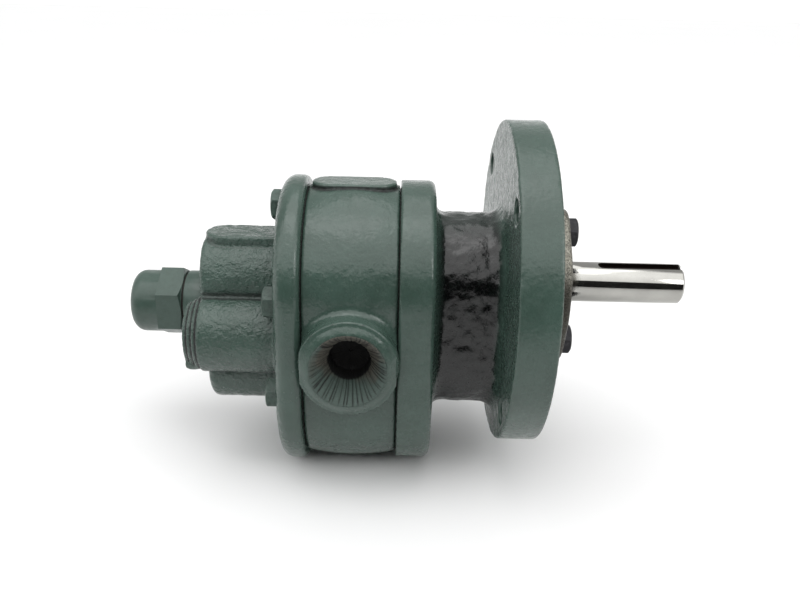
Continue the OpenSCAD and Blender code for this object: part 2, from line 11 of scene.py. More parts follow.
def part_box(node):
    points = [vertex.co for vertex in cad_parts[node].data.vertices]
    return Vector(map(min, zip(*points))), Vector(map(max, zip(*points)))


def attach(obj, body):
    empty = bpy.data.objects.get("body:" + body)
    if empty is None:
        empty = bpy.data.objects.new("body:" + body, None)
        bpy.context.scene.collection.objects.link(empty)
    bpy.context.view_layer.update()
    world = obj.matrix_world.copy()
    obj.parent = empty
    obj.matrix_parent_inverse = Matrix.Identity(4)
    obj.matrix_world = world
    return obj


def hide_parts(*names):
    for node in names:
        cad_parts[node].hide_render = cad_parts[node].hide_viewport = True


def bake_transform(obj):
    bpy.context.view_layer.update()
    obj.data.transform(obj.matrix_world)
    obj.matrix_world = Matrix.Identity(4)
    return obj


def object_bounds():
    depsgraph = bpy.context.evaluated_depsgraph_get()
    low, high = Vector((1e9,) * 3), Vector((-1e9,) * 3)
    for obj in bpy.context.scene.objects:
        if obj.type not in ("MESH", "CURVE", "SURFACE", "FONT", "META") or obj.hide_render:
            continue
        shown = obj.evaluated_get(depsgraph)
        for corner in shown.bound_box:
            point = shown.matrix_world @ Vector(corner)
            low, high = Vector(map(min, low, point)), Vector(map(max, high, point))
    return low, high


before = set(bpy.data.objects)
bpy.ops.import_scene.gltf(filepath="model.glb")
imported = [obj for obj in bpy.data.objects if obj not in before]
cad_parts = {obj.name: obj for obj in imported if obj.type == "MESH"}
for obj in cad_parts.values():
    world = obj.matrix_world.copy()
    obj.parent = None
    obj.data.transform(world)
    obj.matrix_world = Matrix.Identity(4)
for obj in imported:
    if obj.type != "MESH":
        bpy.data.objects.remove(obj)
cad_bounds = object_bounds()

MM = 0.001

# ---------------------------------------------------------------- sizes, in millimetres


def span(node):
    """Lowest and highest corner of a CAD node, in millimetres."""
    low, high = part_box(node)
    return np.array(low) / MM, np.array(high) / MM


HOUSING_LOW, HOUSING_HIGH = span("gear_housing")
COVER_LOW, COVER_HIGH = span("rear_cover")
BRACKET_LOW, BRACKET_HIGH = span("front_bracket")
CAP_LOW, CAP_HIGH = span("relief_cap")
RETAINER_LOW, RETAINER_HIGH = span("retainer_plate")
SHAFT_END, SHAFT_R = span("drive_shaft")[1][:2]

# The drive shaft's axis is Y 0, Z 0. The idler's is straight below it.
IDLER_Z = -44.45
MID_Z = IDLER_Z / 2
VALVE_Y = (CAP_LOW[1] + CAP_HIGH[1]) / 2
BORE_R = 12.7
SHAFT_PASSAGE_R = 11
BOLT_CIRCLE = 34.5
BOLT_PLACES = [
    (0, BOLT_CIRCLE), (BOLT_CIRCLE, 0), (-BOLT_CIRCLE, 0),
    (BOLT_CIRCLE, IDLER_Z), (-BOLT_CIRCLE, IDLER_Z), (0, IDLER_Z - BOLT_CIRCLE),
]
BOLT_HOLE_R = 5.0
BOLT_THREAD_R = 4.75
BOLT_THREAD_LEN = 12

MID_X = (HOUSING_LOW[0] + HOUSING_HIGH[0]) / 2
HOUSING_HALF = 20.8
HOUSING_X0, HOUSING_X1 = MID_X - HOUSING_HALF, MID_X + HOUSING_HALF

HOUSING_R = 43.5
HOUSING_CROWN = 2.1
POCKET_R = 25.5
PAD_TOP = HOUSING_HIGH[2]
PAD_HALF_LENGTH = 19.2
PAD_HALF_WIDTH = 8.8
PORT_REACH = HOUSING_HIGH[1]
BOSS_ROOT_R = 21.9
BOSS_R = 22.1
BOSS_CLEAR_Y = 48.4
PORT_R = 15.9
PORT_MOUTH_R = 17.0
PORT_LEN = 19.0
PASSAGE_R = 12.5

RIM_R = COVER_HIGH[1]
COVER_X = COVER_HIGH[0]
RIM_THICKNESS = 11.8
RIM_X = COVER_X - RIM_THICKNESS
VALVE_LOBE_X = COVER_LOW[0]
VALVE_LOBE_R = 17.8
VALVE_LOBE_STEPS = 4
STEP_RISE = 1.2
STEP_LENGTH = 2.3
UPPER_LOBE_X = -154.0
LOWER_LOBE_X = -153.3
UPPER_LOBE_R = 19.8
LOWER_LOBE_R = 18.4
LOBE_PAD_TOP = 21.6
LOBE_PAD_HALF_WIDTH = 10
WEB_HALF_WIDTH = 10
WEB_LEN = 33
LUMP_R = 3.4
SPOTFACE_R = 9.0
SPOTFACE_LEN = 8
COVER_BORE_LEN = 25
COVER_PASSAGE_LEN = 32
VALVE_CHAMBER_R = 10.6
VALVE_PASSAGE_R = 5.5
PLUG_HOLE_R = 8.0
PLUG_HOLE_LEN = 12

BRACKET_X = BRACKET_LOW[0]
PLATE_THICKNESS = 15.7
PLATE_X = BRACKET_X + PLATE_THICKNESS
PLATE_R = 46.1
FLANGE_X = -17.1
FLANGE_R = BRACKET_HIGH[1]
PILOT_X = BRACKET_HIGH[0]
PILOT_R = 44.45
NECK_R = 32.0
NECK_LOW_Z = -29.0
FLANGE_HOLE_CIRCLE = 65.1
FLANGE_HOLE_R = 5.55
BRACKET_BORE_LEN = 23.5
IDLER_PASSAGE_LEN = 26
OUTBOARD_BORE_LEN = 26.75
SEAL_R = 17.5
SEAL_SEAT_LEN = 2.75

RETAINER_HUB_STEP = 1.5
RETAINER_X = RETAINER_HIGH[0] - RETAINER_HUB_STEP
RETAINER_R = 36
RETAINER_HUB_R = 20
RETAINER_EAR_R = 9.6
RETAINER_BOLT_CIRCLE = 28.5
RETAINER_TURN = 108.5
RETAINER_HOLE_R = 4.1
RETAINER_THREAD_R = 3.95
RETAINER_THREAD_LEN = 8.5

# X values well outside the pump, for cuts that go right through.
FAR_BACK, FAR_FRONT = -200, 30

# ---------------------------------------------------------------- noise that is the same on every run

LATTICE_SIZE = 32
LATTICE = np.random.default_rng(11).uniform(-1, 1, (LATTICE_SIZE,) * 3)


def noise(x, y, z, size, shift=0.0):
    """Smooth value noise from -1 to 1 whose lumps are about size millimetres wide."""
    cells = [c / size + shift for c in (x, y, z)]
    whole = [np.floor(c).astype(int) for c in cells]
    part = [c - w for c, w in zip(cells, whole)]
    part = [f * f * (3 - 2 * f) for f in part]
    total = 0.0
    for corner in product((0, 1), repeat=3):
        weight = 1.0
        for f, c in zip(part, corner):
            weight = weight * (f if c else 1 - f)
        i, j, k = [(w + c) % LATTICE_SIZE for w, c in zip(whole, corner)]
        total = total + weight * LATTICE[i, j, k]
    return total


def ramp(value, low, high):
    """0 below low, 1 above high, and a smooth step between."""
    t = np.clip((value - low) / (high - low), 0, 1)
    return t * t * (3 - 2 * t)


# ---------------------------------------------------------------- distance fields


def length(*parts):
    """How long a vector with these parts is."""
    return np.sqrt(sum(p * p for p in parts))


def both(a, b, r=0.0):
    """Where two shapes overlap, with the edge between them rounded to radius r."""
    if r == 0:
        return np.maximum(a, b)
    return np.minimum(-r, np.maximum(a, b)) + length(np.maximum(r + a, 0), np.maximum(r + b, 0))


def either(a, b, r=0.0):
    """Two shapes joined, with a fillet of radius r."""
    if r == 0:
        return np.minimum(a, b)
    return np.maximum(r, np.minimum(a, b)) - length(np.maximum(r - a, 0), np.maximum(r - b, 0))


def without(a, b, r=0.0):
    """The first shape with the second taken away, with the edge rounded to radius r."""
    return both(a, -b, r)


def between(v, low, high):
    """Negative where v lies between the two limits."""
    return np.maximum(low - v, v - high)


def rod_x(p, y, z, r, x0, x1, edge0=0.0, edge1=0.0):
    """A cylinder along X whose two end edges may be rounded."""
    side = length(p[1] - y, p[2] - z) - r
    return both(both(side, x0 - p[0], edge0), p[0] - x1, edge1)


def rod_y(p, x, z, r, y0, y1, edge=0.0):
    """A cylinder along Y whose end edges may be rounded."""
    side = length(p[0] - x, p[2] - z) - r
    return both(side, between(p[1], y0, y1), edge)


def racetrack(p, z_low):
    """Distance from the straight line between the two end centres, square to X."""
    return length(p[1], p[2] - np.clip(p[2], z_low, 0))


def pad_up(p, x0, x1, half, z0, z1, edge):
    """An upright pad with round ends, from height z0 to z1."""
    plan = length(p[0] - np.clip(p[0], x0 + half, x1 - half), p[1]) - half
    return both(plan, between(p[2], z0, z1), edge)


def bolt_holes(p, places, r, x0, x1):
    """Cylinders along X at each (y, z) place."""
    holes = 1e3
    for y, z in places:
        holes = np.minimum(holes, rod_x(p, y, z, r, x0, x1))
    return holes


def places_round(r, first, count):
    """Evenly spaced (y, z) places on a circle round the drive shaft, the first at that many degrees."""
    turn = [math.radians(first + 360 * n / count) for n in range(count)]
    return [(r * math.cos(a), r * math.sin(a)) for a in turn]


RETAINER_PLACES = places_round(RETAINER_BOLT_CIRCLE, RETAINER_TURN, 3)


# ---------------------------------------------------------------- meshing a field


def surface_net(field, low, high, step):
    """Points and quads on the zero level of field, found cell by cell."""
    axes = [np.arange(a, b + step, step) for a, b in zip(low, high)]
    value = field(np.meshgrid(*axes, indexing="ij"))
    inside = value < 0
    size = value.shape
    corners = list(product((0, 1), repeat=3))
    count = 0
    for i, j, k in corners:
        count = count + inside[i:size[0] - 1 + i, j:size[1] - 1 + j, k:size[2] - 1 + k].astype(np.int8)
    active = (count > 0) & (count < 8)
    index = np.full(active.shape, -1)
    index[active] = np.arange(active.sum())
    base = np.argwhere(active)
    at = {c: value[tuple((base + c).T)] for c in corners}
    total, hits = np.zeros((len(base), 3)), np.zeros((len(base), 1))
    for c in corners:
        for d in range(3):
            if c[d]:
                continue
            e = tuple(v + (n == d) for n, v in enumerate(c))
            crossing = (at[c] < 0) != (at[e] < 0)
            t = np.where(crossing, at[c] / np.where(crossing, at[c] - at[e], 1), 0)[:, None]
            total += crossing[:, None] * (np.array(c) + t * (np.array(e) - np.array(c)))
            hits += crossing[:, None]
    points = np.array([a[0] for a in axes]) + step * (base + total / hits)
    quads = []
    for d in range(3):
        u, w = [n for n in range(3) if n != d]
        first = inside[tuple(slice(0, -1) if n == d else slice(None) for n in range(3))]
        second = inside[tuple(slice(1, None) if n == d else slice(None) for n in range(3))]
        edge = np.argwhere(first != second)
        ring = []
        for du, dw in ((-1, -1), (0, -1), (0, 0), (-1, 0)):
            cell = edge.copy()
            cell[:, u] += du
            cell[:, w] += dw
            ring.append(index[tuple(cell.T)])
        ring = np.stack(ring, 1)
        outward = first[tuple(edge.T)] ^ (d == 1)
        ring[~outward] = ring[~outward][:, ::-1]
        quads.append(ring)
    return points, np.concatenate(quads)


def slope(field, points, h=0.03):
    """The field's gradient at some points."""
    parts = []
    for d in range(3):
        shift = np.zeros(3)
        shift[d] = h
        parts.append((field((points + shift).T) - field((points - shift).T)) / (2 * h))
    return np.stack(parts, 1)


def paint_value(obj, name, values):
    """Stores one number per point for the materials to read."""
    layer = obj.data.attributes.new(name, "FLOAT", "POINT")
    layer.data.foreach_set("value", np.asarray(values, np.float32))


def casting(name, field, low, high, step, relief):
    """A mesh object on a field's zero level, with relief(points, normals) added along its normals."""
    points, quads = surface_net(field, np.array(low) - 2 * step, np.array(high) + 2 * step, step)
    for _ in range(3):
        g = slope(field, points)
        g /= np.maximum((g * g).sum(1, keepdims=True), 0.2)
        points -= np.clip(field(points.T), -step / 2, step / 2)[:, None] * g
    normals = slope(field, points, 0.3)
    normals /= np.linalg.norm(normals, axis=1, keepdims=True)
    # cavity: how closely other surfaces face each point. The enamel paints shade into crevices from it.
    cavity = sum(1 - np.clip(field((points + reach * normals).T) / reach, 0, 1) for reach in (1.2, 3.5)) / 2
    points += normals * relief(points, normals)[:, None]
    points = np.clip(points, low, high)
    mesh = bpy.data.meshes.new(name)
    mesh.from_pydata((points * MM).tolist(), [], quads.tolist())
    mesh.validate()
    mesh.polygons.foreach_set("use_smooth", np.ones(len(mesh.polygons), bool))
    obj = bpy.data.objects.new(name, mesh)
    bpy.context.scene.collection.objects.link(obj)
    paint_value(obj, "cavity", cavity)
    return obj, points, normals


# ---------------------------------------------------------------- the four castings


def housing_field(p):
    """A crowned racetrack body with a pad above and below, a port boss on each side and the gear pocket."""
    x = (p[0] - MID_X) / ((HOUSING_X1 - HOUSING_X0) / 2)
    outline = racetrack(p, IDLER_Z) - HOUSING_R - HOUSING_CROWN * (1 - x * x)
    body = both(outline, between(p[0], HOUSING_X0, HOUSING_X1), 1.0)
    for side in (-1, 1):
        boss = rod_y(p, MID_X, MID_Z, BOSS_ROOT_R, *sorted((0, side * (PORT_REACH - 3))))
        body = either(body, boss, 3.5)
    for z0, z1 in ((0, PAD_TOP), (IDLER_Z - PAD_TOP, IDLER_Z)):
        pad = pad_up(p, MID_X - PAD_HALF_LENGTH, MID_X + PAD_HALF_LENGTH, PAD_HALF_WIDTH, z0, z1, 0.7)
        body = either(body, pad, 0.3)
    body = both(body, between(p[0], HOUSING_X0, HOUSING_X1), 0.4)
    for side in (-1, 1):
        cap = rod_y(p, MID_X, MID_Z, BOSS_R, *sorted((side * BOSS_CLEAR_Y, side * PORT_REACH)), 0.6)
        dome = length(p[0] - MID_X, p[2] - MID_Z) * 0.72 + side * p[1] * 0.69
        body = either(body, both(cap, dome - (BOSS_R * 0.72 + (PORT_REACH - 4.6) * 0.69), 4.0), 0.8)
    for z in (0, IDLER_Z):
        body = without(body, rod_x(p, 0, z, POCKET_R, FAR_BACK, 0))
    for side in (-1, 1):
        body = without(body, rod_y(p, MID_X, MID_Z, PASSAGE_R, *sorted((0, side * PORT_REACH))))
        mouth = rod_y(p, MID_X, MID_Z, PORT_R, *sorted((side * (PORT_REACH - PORT_LEN), side * 90)))
        body = without(body, mouth)
        sink = length(p[0] - MID_X, p[2] - MID_Z) - PORT_MOUTH_R - 1.4 * (side * p[1] - PORT_REACH)
        body = without(body, np.maximum(sink * 0.58, PORT_REACH - 2 - side * p[1]), 0.4)
    return without(body, bolt_holes(p, BOLT_PLACES, BOLT_HOLE_R, FAR_BACK, 0))


def housing_relief(points, normals):
    """Soft lumps on the outside and the mould's broken parting line over the top."""
    x, y, z = points.T
    cast = ramp(length(y, z - np.clip(z, IDLER_Z, 0)), 36, 42) * ramp(1 - abs(normals[:, 0]), 0.1, 0.6)
    lumps = 0.10 * noise(x, y, z, 9) + 0.05 * noise(x, y, z, 3.5, 5)
    seam = np.exp(-((x - MID_X - 0.4 * noise(x, y, z, 8, 3)) / 0.7) ** 2) * ramp(z, -12, 8)
    seam *= 0.10 + 0.28 * np.maximum(noise(x, y, z, 4, 9), 0)
    return cast * (lumps + seam)


def cover_field(p):
    """The rounded rim, the two bearing lobes and their web, the valve lobe and its stepped twin."""
    rim = racetrack(p, IDLER_Z) - RIM_R
    body = both(both(rim, RIM_X - p[0], 6.2), p[0] - COVER_X, 3.0)
    lobes = rod_x(p, 0, 0, UPPER_LOBE_R, UPPER_LOBE_X, COVER_X - 3, 2.4)
    web = np.maximum(abs(p[1]) - WEB_HALF_WIDTH, between(p[2], IDLER_Z + 6, -6))
    lobes = either(lobes, both(web, between(p[0], RIM_X - WEB_LEN, RIM_X + 1), 2.0), 4.0)
    lobes = either(lobes, rod_x(p, 0, IDLER_Z, LOWER_LOBE_R, LOWER_LOBE_X, COVER_X - 3, 3.4), 2.0)
    pad = pad_up(p, UPPER_LOBE_X + 0.5, COVER_X + 10, LOBE_PAD_HALF_WIDTH, 0, LOBE_PAD_TOP, 1.0)
    lobes = either(lobes, np.maximum(pad, p[0] - COVER_X + 3), 0.7)
    lobes = either(lobes, rod_x(p, VALVE_Y, MID_Z, VALVE_LOBE_R, VALVE_LOBE_X, COVER_X - 3, 1.5), 1.6)
    stepped = 1e3
    for n in range(VALVE_LOBE_STEPS):
        radius = VALVE_LOBE_R - STEP_RISE * (VALVE_LOBE_STEPS - 1 - n)
        disc = rod_x(p, -VALVE_Y, MID_Z, radius, VALVE_LOBE_X + STEP_LENGTH * n, COVER_X - 3, 0.9)
        stepped = np.minimum(stepped, disc)
    lump = length((p[0] - VALVE_LOBE_X - 3) / 1.5, p[1] + VALVE_Y + 8, p[2] - MID_Z + 11.5) - LUMP_R
    stepped = either(stepped, lump, 1.0)
    lobes = either(lobes, stepped, 1.6)
    spotfaces = bolt_holes(p, BOLT_PLACES, SPOTFACE_R + 0.4, RIM_X - SPOTFACE_LEN, RIM_X - 0.2)
    lobes = without(lobes, spotfaces, 0.8)
    body = either(body, lobes, 3.0)
    body = without(body, bolt_holes(p, BOLT_PLACES, SPOTFACE_R, RIM_X - SPOTFACE_LEN, RIM_X), 0.4)
    for z in (0, IDLER_Z):
        body = without(body, rod_x(p, 0, z, BORE_R, COVER_X - COVER_BORE_LEN, COVER_X + 1))
        body = without(body, rod_x(p, 0, z, SHAFT_PASSAGE_R, COVER_X - COVER_PASSAGE_LEN, COVER_X))
    body = without(body, rod_x(p, VALVE_Y, MID_Z, VALVE_CHAMBER_R, FAR_BACK, RIM_X - 3))
    body = without(body, rod_x(p, VALVE_Y, MID_Z, VALVE_PASSAGE_R, FAR_BACK, 0))
    plug_hole = rod_x(p, -VALVE_Y, MID_Z, PLUG_HOLE_R, FAR_BACK, VALVE_LOBE_X + PLUG_HOLE_LEN)
    body = without(body, plug_hole, 0.4)
    return without(body, bolt_holes(p, BOLT_PLACES, BOLT_HOLE_R, FAR_BACK, 0))


def cover_relief(points, normals):
    """Lumps all over but on the joint face, and sand grain on the lobes behind the rim."""
    x, y, z = points.T
    cast = ramp(COVER_X - x, 1.0, 4.0)
    rough = ramp(RIM_X - x, -4.0, 2.0)
    lumps = 0.16 * noise(x, y, z, 8) + 0.07 * noise(x, y, z, 3, 5)
    grain = 0.16 * noise(x, y, z, 2.0, 9)
    return cast * (lumps + rough * grain)


def bracket_field(p):
    """The joint plate, the neck, the round flange and its pilot, with the shaft and seal bores."""
    track = racetrack(p, IDLER_Z) - PLATE_R
    plate = both(both(track, BRACKET_X - p[0], 0.5), p[0] - PLATE_X, 3.0)
    neck = np.maximum(racetrack(p, NECK_LOW_Z) - NECK_R, between(p[0], PLATE_X - 4, FLANGE_X + 4))
    flange = rod_x(p, 0, 0, FLANGE_R, FLANGE_X, 0, 1.0, 0.6)
    body = either(plate, neck, 5.5)
    body = either(body, flange, 6.5)
    body = either(body, rod_x(p, 0, 0, PILOT_R, -3, PILOT_X, 0, 0.8))
    body = without(body, bolt_holes(p, places_round(FLANGE_HOLE_CIRCLE, 45, 4), FLANGE_HOLE_R, -40, 5), 0.5)
    body = without(body, bolt_holes(p, RETAINER_PLACES, RETAINER_THREAD_R, -RETAINER_THREAD_LEN, 20))
    body = without(body, bolt_holes(p, BOLT_PLACES, BOLT_THREAD_R, FAR_BACK, BRACKET_X + BOLT_THREAD_LEN))
    for z in (0, IDLER_Z):
        body = without(body, rod_x(p, 0, z, BORE_R, FAR_BACK, BRACKET_X + BRACKET_BORE_LEN))
    body = without(body, rod_x(p, 0, 0, SHAFT_PASSAGE_R, FAR_BACK, 0))
    body = without(body, rod_x(p, 0, 0, BORE_R, -OUTBOARD_BORE_LEN, 0))
    body = without(body, rod_x(p, 0, IDLER_Z, SHAFT_PASSAGE_R, FAR_BACK, BRACKET_X + IDLER_PASSAGE_LEN))
    return without(body, rod_x(p, 0, 0, SEAL_R, -SEAL_SEAT_LEN, 20))


def bracket_relief(points, normals):
    """Heavy lumps on the neck, pebbles on the flange's rear face and a faint waviness elsewhere."""
    x, y, z = points.T
    radius = length(y, z)
    neck = ramp(x, PLATE_X - 1, PLATE_X + 3) * ramp(-x, -FLANGE_X - 1.0, -FLANGE_X + 3)
    rear_face = ramp(x, PLATE_X, PLATE_X + 3) * ramp(-x, -FLANGE_X - 1.5, -FLANGE_X) * (1 - neck)
    lumps = 0.45 * noise(x, y, z, 9) + 0.30 * noise(x, y, z, 4, 5) + 0.14 * noise(x, y, z, 2, 7)
    pebbles = 0.20 * noise(x, y, z, 2.2, 2) + 0.12 * noise(x, y, z, 5, 3)
    plate = 0.07 * noise(x, y, z, 8) * ramp(-x, -PLATE_X, -PLATE_X + 4)
    rim = 0.04 * noise(x, y, z, 10) * ramp(radius, FLANGE_R - 3, FLANGE_R - 1)
    outside = ramp(radius, 18, 22)
    return (neck * lumps + rear_face * pebbles) * outside + plate + rim


def retainer_field(p):
    """A round plate that swells round its three bolts, with a low hub round the shaft."""
    outline = length(p[1], p[2]) - RETAINER_R
    for y, z in RETAINER_PLACES:
        outline = either(outline, length(p[1] - y, p[2] - z) - RETAINER_EAR_R, 4.0)
    plate = both(both(outline, RETAINER_LOW[0] - p[0]), p[0] - RETAINER_X, 2.0)
    hub = rod_x(p, 0, 0, RETAINER_HUB_R, RETAINER_LOW[0], RETAINER_HIGH[0], 0, 1.0)
    plate = either(plate, hub, 1.0)
    plate = without(plate, rod_x(p, 0, 0, SHAFT_PASSAGE_R, 0, FAR_FRONT))
    return without(plate, bolt_holes(p, RETAINER_PLACES, RETAINER_HOLE_R, 0, FAR_FRONT))


def retainer_relief(points, normals):
    """A fine sand skin and slow waves on the front of the plate."""
    x, y, z = points.T
    return ramp(x, 8, 9) * (0.06 * noise(x, y, z, 1.6) + 0.1 * noise(x, y, z, 6, 4) - 0.12)


# ---------------------------------------------------------------- materials


def srgb(r, g, b):
    """Linear colour from eight-bit values."""
    values = [v / 255 for v in (r, g, b)]
    linear = [v / 12.92 if v <= 0.04045 else ((v + 0.055) / 1.055) ** 2.4 for v in values]
    return (*linear, 1)


class Nodes:
    """Short calls for building one material's node tree."""

    def __init__(self, name):
        self.material = bpy.data.materials.new(name)
        self.material.use_nodes = True
        self.tree = self.material.node_tree
        self.tree.nodes.clear()
        self.shader = self.add("ShaderNodeBsdfPrincipled")
        output = self.add("ShaderNodeOutputMaterial")
        self.link(self.shader.outputs[0], output.inputs["Surface"])
        coordinates = self.add("ShaderNodeTexCoord")
        self.place = coordinates.outputs["Object"]

    def add(self, kind, **settings):
        node = self.tree.nodes.new(kind)
        for key, value in settings.items():
            setattr(node, key, value)
        return node

    def link(self, a, b):
        self.tree.links.new(a, b)

    def feed(self, socket, value):
        if isinstance(value, bpy.types.NodeSocket):
            self.link(value, socket)
        else:
            socket.default_value = value

    def noise(self, size_mm, detail=3.0, roughness=0.55, stretch=None):
        """Noise from 0 to 1 with features of about size_mm."""
        place = self.place
        if stretch:
            mapping = self.add("ShaderNodeMapping")
            mapping.inputs["Scale"].default_value = stretch
            self.link(place, mapping.inputs[0])
            place = mapping.outputs[0]
        node = self.add("ShaderNodeTexNoise")
        self.link(place, node.inputs["Vector"])
        node.inputs["Scale"].default_value = 1 / (size_mm * MM)
        node.inputs["Detail"].default_value = detail
        node.inputs["Roughness"].default_value = roughness
        return node.outputs[0]

    def math(self, operation, a, b=0.0, clamp=False):
        node = self.add("ShaderNodeMath", operation=operation, use_clamp=clamp)
        self.feed(node.inputs[0], a)
        self.feed(node.inputs[1], b)
        return node.outputs[0]

    def remap(self, value, low, high, to_low=0.0, to_high=1.0):
        """Moves value from one range to another, held at the ends."""
        node = self.add("ShaderNodeMapRange")
        for socket, v in zip(node.inputs, (value, low, high, to_low, to_high)):
            self.feed(socket, v)
        return node.outputs[0]

    def mix(self, share, a, b):
        """Colour a where share is 0, colour b where it is 1."""
        node = self.add("ShaderNodeMix", data_type="RGBA")
        self.feed(node.inputs[0], share)
        self.feed(node.inputs[6], a)
        self.feed(node.inputs[7], b)
        return node.outputs[2]

    def blend(self, share, a, b):
        """Like mix, for plain numbers."""
        node = self.add("ShaderNodeMix", data_type="FLOAT")
        for socket, value in zip((node.inputs[0], node.inputs[2], node.inputs[3]), (share, a, b)):
            self.feed(socket, value)
        return node.outputs[0]

    def axis(self, n):
        """One of the three coordinates of the place on the object, in metres."""
        split = self.add("ShaderNodeSeparateXYZ")
        self.link(self.place, split.inputs[0])
        return split.outputs[n]

    def darken_below(self):
        """Grows from none well above the shaft's axis to nearly full at the axis."""
        return self.remap(self.axis(2), 20 * MM, 3 * MM, 0, 0.7)

    def attribute(self, name):
        """A number that paint_value stored on the mesh."""
        return self.add("ShaderNodeAttribute", attribute_name=name).outputs["Fac"]

    def bump(self, height, distance_mm, strength=1.0):
        node = self.add("ShaderNodeBump")
        node.inputs["Distance"].default_value = distance_mm * MM
        self.feed(node.inputs["Strength"], strength)
        self.link(height, node.inputs["Height"])
        return node.outputs[0]

    def finish(self, color, roughness, normal=None, metallic=0.0, coat=0.0, coat_roughness=0.1):
        self.feed(self.shader.inputs["Base Color"], color)
        self.feed(self.shader.inputs["Roughness"], roughness)
        self.shader.inputs["Metallic"].default_value = metallic
        self.shader.inputs["Coat Weight"].default_value = coat
        self.shader.inputs["Coat Roughness"].default_value = coat_roughness
        if normal:
            self.link(normal, self.shader.inputs["Normal"])
        return self.material


PAINT = srgb(55, 73, 65)
PAINT_LIGHT = srgb(63, 82, 74)
PAINT_DARK = srgb(38, 53, 46)
# Near-black: the dark iron of the bare neck, the grain's low spots, and painted shade in crevices.
NEAR_BLACK = srgb(5, 6, 6)
# The dark tone that bare metal takes towards the bottom.
LOW_DARK_TONE = srgb(30, 29, 26)


def enamel(name, pebble=0.3, grain_mm=1.1, gloss=0.32, attributes=(), coat=0.05, dirt=0.35):
    """Grey-green enamel whose colour and gloss drift, over sand-cast grain.

    pebble is the grain's strength, gloss the paint's lowest roughness and dirt the share of dark mottling.
    attributes are the painted values that the piece has: cavity paints shade into crevices, pebble adds
    grain, and bare is worn to dark metal, along with metal, where no paint was ever put.
    """
    m = Nodes(name)
    drift = m.remap(m.noise(22, 4), 0.35, 0.65)
    color = m.mix(drift, PAINT, PAINT_LIGHT)
    mottle = m.remap(m.noise(2.4, 5, 0.65), 0.45, 0.7)
    color = m.mix(m.math("MULTIPLY", mottle, dirt), color, PAINT_DARK)
    roughness = m.remap(m.noise(4, 4), 0.3, 0.7, gloss - 0.05, gloss + 0.14)
    grain = m.noise(grain_mm, 3, 0.5)
    pits = m.remap(m.noise(grain_mm * 2.2, 2), 0.42, 0.62)
    height = m.math("ADD", grain, m.math("MULTIPLY", pits, 0.6))
    # The grain's low spots are darkened towards near-black.
    color = m.mix(m.remap(grain, 0.44, 0.30, 0, 0.9 * max(pebble - 0.2, 0)), color, NEAR_BLACK)
    strength = pebble
    if "pebble" in attributes:
        rough = m.attribute("pebble")
        strength = m.math("ADD", m.math("MULTIPLY", rough, 0.6), pebble)
    if "bare" in attributes:
        blotch = m.remap(m.noise(3.0, 6, 0.7), 0.36, 0.62)
        share = m.math("SUBTRACT", 1.1, m.math("MULTIPLY", blotch, 0.17))
        dark = m.math("MULTIPLY", m.attribute("bare"), share, True)
        color = m.mix(dark, color, NEAR_BLACK)
        roughness = m.blend(dark, roughness, m.remap(m.noise(1.4, 3), 0.3, 0.7, 0.08, 0.34))
        metal = m.attribute("metal")
        specks = m.remap(m.noise(0.9, 3, 0.7), 0.45, 0.62)
        bare_iron = m.mix(specks, srgb(156, 154, 146), srgb(88, 86, 78))
        # Bare metal on the pilot, darker towards the bottom.
        color = m.mix(metal, color, m.mix(m.darken_below(), bare_iron, LOW_DARK_TONE))
    if "cavity" in attributes:
        # Painted shade: crevices are darkened towards near-black where other surfaces close over them.
        hollow = m.remap(m.attribute("cavity"), 0.04, 0.28)
        hollow = m.math("MULTIPLY", hollow, m.remap(m.noise(1.8, 3), 0.25, 0.6, 0.7, 1.0))
        color = m.mix(hollow, color, NEAR_BLACK)
        roughness = m.blend(hollow, roughness, 0.7)
    normal = m.bump(height, 0.42, strength)
    return m.finish(color, roughness, normal, coat=coat, coat_roughness=0.2)


def turned_metal(m, tone):
    """A metal's colour with a slow drift, and the fine lines that turning leaves round the X axis."""
    drift = m.remap(m.noise(14, 3), 0.3, 0.7)
    dark = tuple(0.82 * t for t in tone)
    color = m.mix(drift, (*dark, 1), (*tone, 1))
    return color, m.noise(0.12, 2, 0.5, stretch=(1, 0.02, 0.02))


def steel(name, tone, roughness):
    """Turned or ground steel."""
    m = Nodes(name)
    color, lines = turned_metal(m, tone)
    rough = m.remap(lines, 0.3, 0.7, roughness - 0.04, roughness + 0.08)
    return m.finish(color, rough, m.bump(lines, 0.01), metallic=1.0)


def keyed_steel(name, radius, end_x, tone):
    """Ground steel whose keyway, below the shaft's own surface, is dark with old oil."""
    m = Nodes(name)
    color, lines = turned_metal(m, tone)
    squares = [m.math("MULTIPLY", m.axis(n), m.axis(n)) for n in (1, 2)]
    depth = m.math("SUBTRACT", radius * MM, m.math("SQRT", m.math("ADD", *squares)))
    sunk = m.remap(depth, 0.05 * MM, 0.2 * MM)
    behind_the_end = m.math("LESS_THAN", m.axis(0), (end_x - 1.2) * MM)
    sunk = m.math("MULTIPLY", sunk, behind_the_end)
    rough = m.blend(sunk, m.remap(lines, 0.3, 0.7, 0.04, 0.11), 0.7)
    color = m.mix(sunk, color, srgb(38, 32, 28))
    return m.finish(color, rough, m.bump(lines, 0.01), metallic=1.0)


def raw_iron(name):
    """Unpainted cast iron, speckled and stained, and darker towards the bottom."""
    m = Nodes(name)
    specks = m.remap(m.noise(0.7, 5, 0.75), 0.40, 0.64)
    color = m.mix(specks, srgb(146, 144, 134), srgb(50, 48, 42))
    stain = m.remap(m.noise(9, 4), 0.45, 0.75)
    color = m.mix(m.math("MULTIPLY", stain, 0.4), color, srgb(92, 86, 72))
    # Darker towards the bottom.
    color = m.mix(m.darken_below(), color, LOW_DARK_TONE)
    rough = m.remap(specks, 0, 1, 0.38, 0.62)
    return m.finish(color, rough, m.bump(m.noise(0.7, 4), 0.12, 0.6), metallic=0.85)


